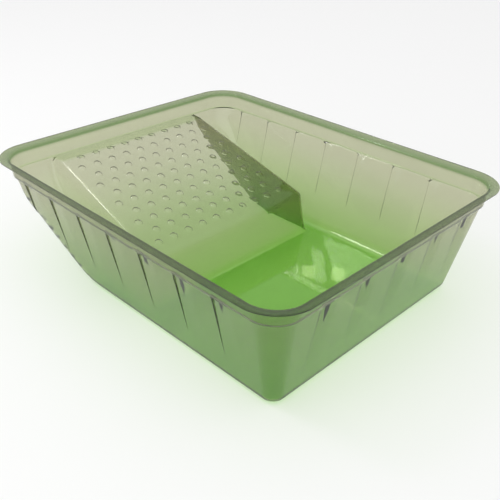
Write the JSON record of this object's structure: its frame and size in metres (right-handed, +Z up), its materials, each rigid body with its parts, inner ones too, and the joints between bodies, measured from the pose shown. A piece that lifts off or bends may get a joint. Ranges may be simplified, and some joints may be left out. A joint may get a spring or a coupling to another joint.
{
  "type": "paint roller tray",
  "caption": "Deep-well paint roller tray with a bumped roll-off ramp, fluted sloping walls and a flat carrying rim, formed in clear green plastic.",
  "frame": {"origin": "on the surface that the tray stands on, under the middle of the rim", "axes": "+X from the shallow end to the deep end, +Y to the far side with the shallow end on the left, +Z up"},
  "size_m": [0.4, 0.33, 0.116],
  "materials": {
    "clear_green_plastic": "glossy, see-through, pale green"
  },
  "bodies": {
    "root": {"deep_end_rim": "clear_green_plastic", "deep_end_wall": "clear_green_plastic", "far_channel_floor": "clear_green_plastic", "far_channel_slope": "clear_green_plastic", "far_deep_corner": "clear_green_plastic", "far_deep_rim_corner": "clear_green_plastic", "far_ramp_side": "clear_green_plastic", "far_rim": "clear_green_plastic", "far_shallow_corner": "clear_green_plastic", "far_shallow_rim_corner": "clear_green_plastic", "far_side_wall": "clear_green_plastic", "near_channel_floor": "clear_green_plastic", "near_channel_slope": "clear_green_plastic", "near_deep_corner": "clear_green_plastic", "near_deep_rim_corner": "clear_green_plastic", "near_ramp_side": "clear_green_plastic", "near_rim": "clear_green_plastic", "near_shallow_corner": "clear_green_plastic", "near_shallow_rim_corner": "clear_green_plastic", "near_side_wall": "clear_green_plastic", "ramp_deck": "clear_green_plastic", "ramp_front": "clear_green_plastic", "ramp_shelf": "clear_green_plastic", "shallow_end_rim": "clear_green_plastic", "well_floor": "clear_green_plastic"}
  },
  "joints": []
}
